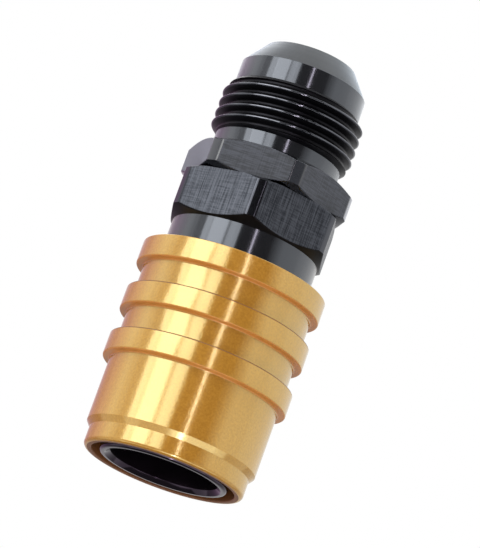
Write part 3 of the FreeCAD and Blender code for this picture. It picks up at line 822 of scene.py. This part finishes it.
floor = flat_sheet("floor", FLOOR_HALF, FLOOR_HALF, -FLOOR_DROP)
pale, nodes, links, shader = finish_material(
    "pale_floor", (0.86, 0.86, 0.86), metallic=0.0, roughness=0.7)
adjust_finish(pale, {"Specular IOR Level": 0.1})
geometry = nodes.new("ShaderNodeNewGeometry")
path = nodes.new("ShaderNodeLightPath")
place = nodes.new("ShaderNodeTexCoord")
reach = nodes.new("ShaderNodeVectorMath")
reach.operation = "LENGTH"
links.new(place.outputs["Object"], reach.inputs[0])
fade = spread(nodes, links, reach.outputs["Value"], low=1.0, high=0.0,
              start=FADE_START, end=FADE_END)
front = work_out(nodes, links, "SUBTRACT", 1.0, geometry.outputs["Backfacing"])
seen = work_out(nodes, links, "MULTIPLY", front, path.outputs["Is Camera Ray"])
shown = work_out(nodes, links, "MULTIPLY", seen, fade)
clear = nodes.new("ShaderNodeBsdfTransparent")
mixed = nodes.new("ShaderNodeMixShader")
links.new(shown, mixed.inputs["Fac"])
links.new(clear.outputs[0], mixed.inputs[1])
links.new(shader.outputs[0], mixed.inputs[2])
links.new(mixed.outputs[0], nodes["Material Output"].inputs["Surface"])
floor.data.materials.append(pale)


# Studio: a large softbox of several panels left of the camera, a narrow strip right of it, soft
# panels overhead and behind, and a faint glow from below as off a white table. Dark cards stand
# round the camera, and the surround is white.

AIM = np.array((0.0, 0.0, 0.041))
BOX_ELEVATION, BOX_DISTANCE, BOX_HEIGHT, STRIP_HEIGHT = 16, 1.1, 0.95, 0.9
TABLE_DISTANCE = 1.0
STRIP_COLOUR, BACKDROP_COLOUR = (1.0, 0.88, 0.97), (0.58, 0.37, 0.56)
CARD_DISTANCE, BACKDROP_WAY = 1.3, (-0.63, 0.777, 0)


def studio_place(azimuth, elevation, distance):
    """A point round the object: azimuth 0 is the camera's side, positive to its right."""
    a, e = math.radians(azimuth), math.radians(elevation)
    way = np.array((math.sin(a) * math.cos(e), -math.cos(a) * math.cos(e), math.sin(e)))
    return AIM + way * distance


def face_object(thing, spot):
    """Turns a lamp or card at spot towards the object, with its width level."""
    back = (spot - AIM) / np.linalg.norm(spot - AIM)
    side = np.cross((0, 0, 1), back)
    side = side / np.linalg.norm(side)
    up = np.cross(back, side)
    thing.matrix_world = Matrix(
        [(side[i], up[i], back[i], spot[i]) for i in range(3)] + [(0, 0, 0, 1)])


def soft_panel(name, start, end, elevation, distance, height, glow, colour=(1, 1, 1)):
    """An area lamp between two azimuths, whose face is as bright as a white of that glow."""
    lamp = bpy.data.lights.new(name, "AREA")
    lamp.shape = "RECTANGLE"
    lamp.size = 2 * distance * math.tan(math.radians((end - start) / 2))
    lamp.size_y = height
    lamp.energy = glow * math.pi * lamp.size * lamp.size_y
    lamp.color = colour
    panel = bpy.data.objects.new(name, lamp)
    bpy.context.scene.collection.objects.link(panel)
    face_object(panel, studio_place((start + end) / 2, elevation, distance))


def dark_card(name, start, end, shade, half_h, fading=False):
    """A card between two azimuths that only mirrors see; a fading one thins out to its right."""
    half_w = CARD_DISTANCE * math.tan(math.radians((end - start) / 2))
    card = flat_sheet(name, half_w, half_h, 0)
    cloth, nodes, links, shader = finish_material(
        name, (shade, shade, shade), metallic=0.0, roughness=1.0)
    adjust_finish(cloth, {"Specular IOR Level": 0.0})
    if fading:
        place = nodes.new("ShaderNodeTexCoord")
        split = nodes.new("ShaderNodeSeparateXYZ")
        links.new(place.outputs["Object"], split.inputs[0])
        thin = spread(nodes, links, split.outputs["X"], low=1.0, high=0.0,
                      start=-half_w, end=half_w)
        links.new(thin, shader.inputs["Alpha"])
    card.data.materials.append(cloth)
    face_object(card, studio_place((start + end) / 2, BOX_ELEVATION, CARD_DISTANCE))
    card.visible_camera = card.visible_shadow = card.visible_diffuse = False


for name, start, end, glow in (("softbox_edge", -70, -61.5, 2.2),
                               ("softbox_seam", -61.5, -57.5, 1.7),
                               ("softbox_main", -57.5, -34.5, 3.1),
                               ("softbox_gap", -34.5, -30, 0.4),
                               ("softbox_near", -30, -22, 2.0),
                               ("softbox_rim", -22, -14.5, 1.8)):
    soft_panel(name, start, end, BOX_ELEVATION, BOX_DISTANCE, BOX_HEIGHT, glow)
soft_panel("strip", 8.5, 10.9, BOX_ELEVATION, BOX_DISTANCE, STRIP_HEIGHT, 7.0, STRIP_COLOUR)
soft_panel("fill_left", -130, -94, BOX_ELEVATION, BOX_DISTANCE, BOX_HEIGHT, 0.2)
soft_panel("fill_right", 92, 150, BOX_ELEVATION, BOX_DISTANCE, BOX_HEIGHT, 0.1)
soft_panel("overhead", -4, 44, elevation=84, distance=0.9, height=0.8, glow=0.6)
soft_panel("back_left", -185, -150, elevation=42, distance=1.1, height=0.6, glow=1.5)
soft_panel("strip_foot", 8.2, 11.2, -45, BOX_DISTANCE, STRIP_HEIGHT, 14.0, STRIP_COLOUR)
for name, start, end, elevation, height, glow in (
        ("table_glow", 0, 72, -60, 0.3, 1.0),
        ("table_glow_left", -72, 0, -60, 0.4, 0.7),
        ("table_glow_left_side", -125, -65, -40, 0.5, 0.38),
        ("table_glow_right_side", 65, 125, -40, 0.5, 0.38),
        ("table_glow_middle", 9, 58, -60, 0.3, 0.8)):
    soft_panel(name, start, end, elevation, TABLE_DISTANCE, height, glow)

dark_card("card_camera", -13, 37, shade=0.1, half_h=1.1)
dark_card("card_right", 37, 58, shade=0.1, half_h=0.6, fading=True)
dark_card("card_left", -84, -71, shade=0.8, half_h=0.6)

surround = bpy.data.worlds.new("white_surround")
bpy.context.scene.world = surround
surround.use_nodes = True
nodes, links = surround.node_tree.nodes, surround.node_tree.links
background = nodes["Background"]
path = nodes.new("ShaderNodeLightPath")
way = nodes.new("ShaderNodeTexCoord").outputs["Generated"]
split = nodes.new("ShaderNodeSeparateXYZ")
links.new(way, split.inputs[0])
height = split.outputs["Z"]
lit_level = spread(nodes, links, height, low=0.45, high=1.0, start=-0.7, end=0.7)
mirror_level = spread(nodes, links, height, low=0.1, high=1.0, start=-0.7, end=0.2)
shown_level = work_out(nodes, links, "MAXIMUM", mirror_level, path.outputs["Is Camera Ray"])
mirrored = work_out(nodes, links, "MAXIMUM", path.outputs["Is Camera Ray"],
                    path.outputs["Is Glossy Ray"])
through = work_out(nodes, links, "MAXIMUM", mirrored, path.outputs["Is Transmission Ray"])
level = nodes.new("ShaderNodeMapRange")
links.new(through, level.inputs["Value"])
links.new(lit_level, level.inputs["To Min"])
links.new(shown_level, level.inputs["To Max"])
links.new(level.outputs["Result"], background.inputs["Strength"])
towards = nodes.new("ShaderNodeVectorMath")
towards.operation = "DOT_PRODUCT"
towards.inputs[1].default_value = BACKDROP_WAY
links.new(way, towards.inputs[0])
backdrop = tint(nodes, links, towards.outputs["Value"], (1, 1, 1), BACKDROP_COLOUR,
                start=0.76, end=0.95)
whole = nodes.new("ShaderNodeMix")
whole.data_type = "RGBA"
colour_a, colour_b, colour_out = whole.inputs[6], whole.inputs[7], whole.outputs[2]
links.new(path.outputs["Is Camera Ray"], whole.inputs["Factor"])
links.new(backdrop, colour_a)
colour_b.default_value = (1, 1, 1, 1)
links.new(colour_out, background.inputs["Color"])
bpy.context.scene.view_settings.view_transform = "Standard"


# Camera: a long lens below the mouth's level, rolled so that the coupling leans to the right
# as in the photograph.

CAMERA_ELEVATION, CAMERA_ROLL, CAMERA_DISTANCE = -14.6, 19.92, 0.8091
FOCAL_LENGTH, SENSOR_WIDTH = 295.6, 36.0
MOUTH_RIGHT, MOUTH_DOWN = -0.00097, 0.0383

lift = math.radians(-CAMERA_ELEVATION)
forward = np.array((0, math.cos(lift), math.sin(lift)))
upright = np.array((0, -math.sin(lift), math.cos(lift)))
level_right = np.array((1.0, 0, 0))
roll = math.radians(CAMERA_ROLL)
right = math.cos(roll) * level_right + math.sin(roll) * upright
top = math.cos(roll) * upright - math.sin(roll) * level_right
spot = -CAMERA_DISTANCE * forward - MOUTH_RIGHT * level_right + MOUTH_DOWN * upright
lens = bpy.data.cameras.new("camera")
lens.lens = FOCAL_LENGTH
lens.sensor_width = SENSOR_WIDTH
lens.clip_start, lens.clip_end = 0.05, 20.0
camera = bpy.data.objects.new("camera", lens)
bpy.context.scene.collection.objects.link(camera)
camera.matrix_world = Matrix(
    [(right[i], top[i], -forward[i], spot[i]) for i in range(3)] + [(0, 0, 0, 1)])
bpy.context.scene.camera = camera
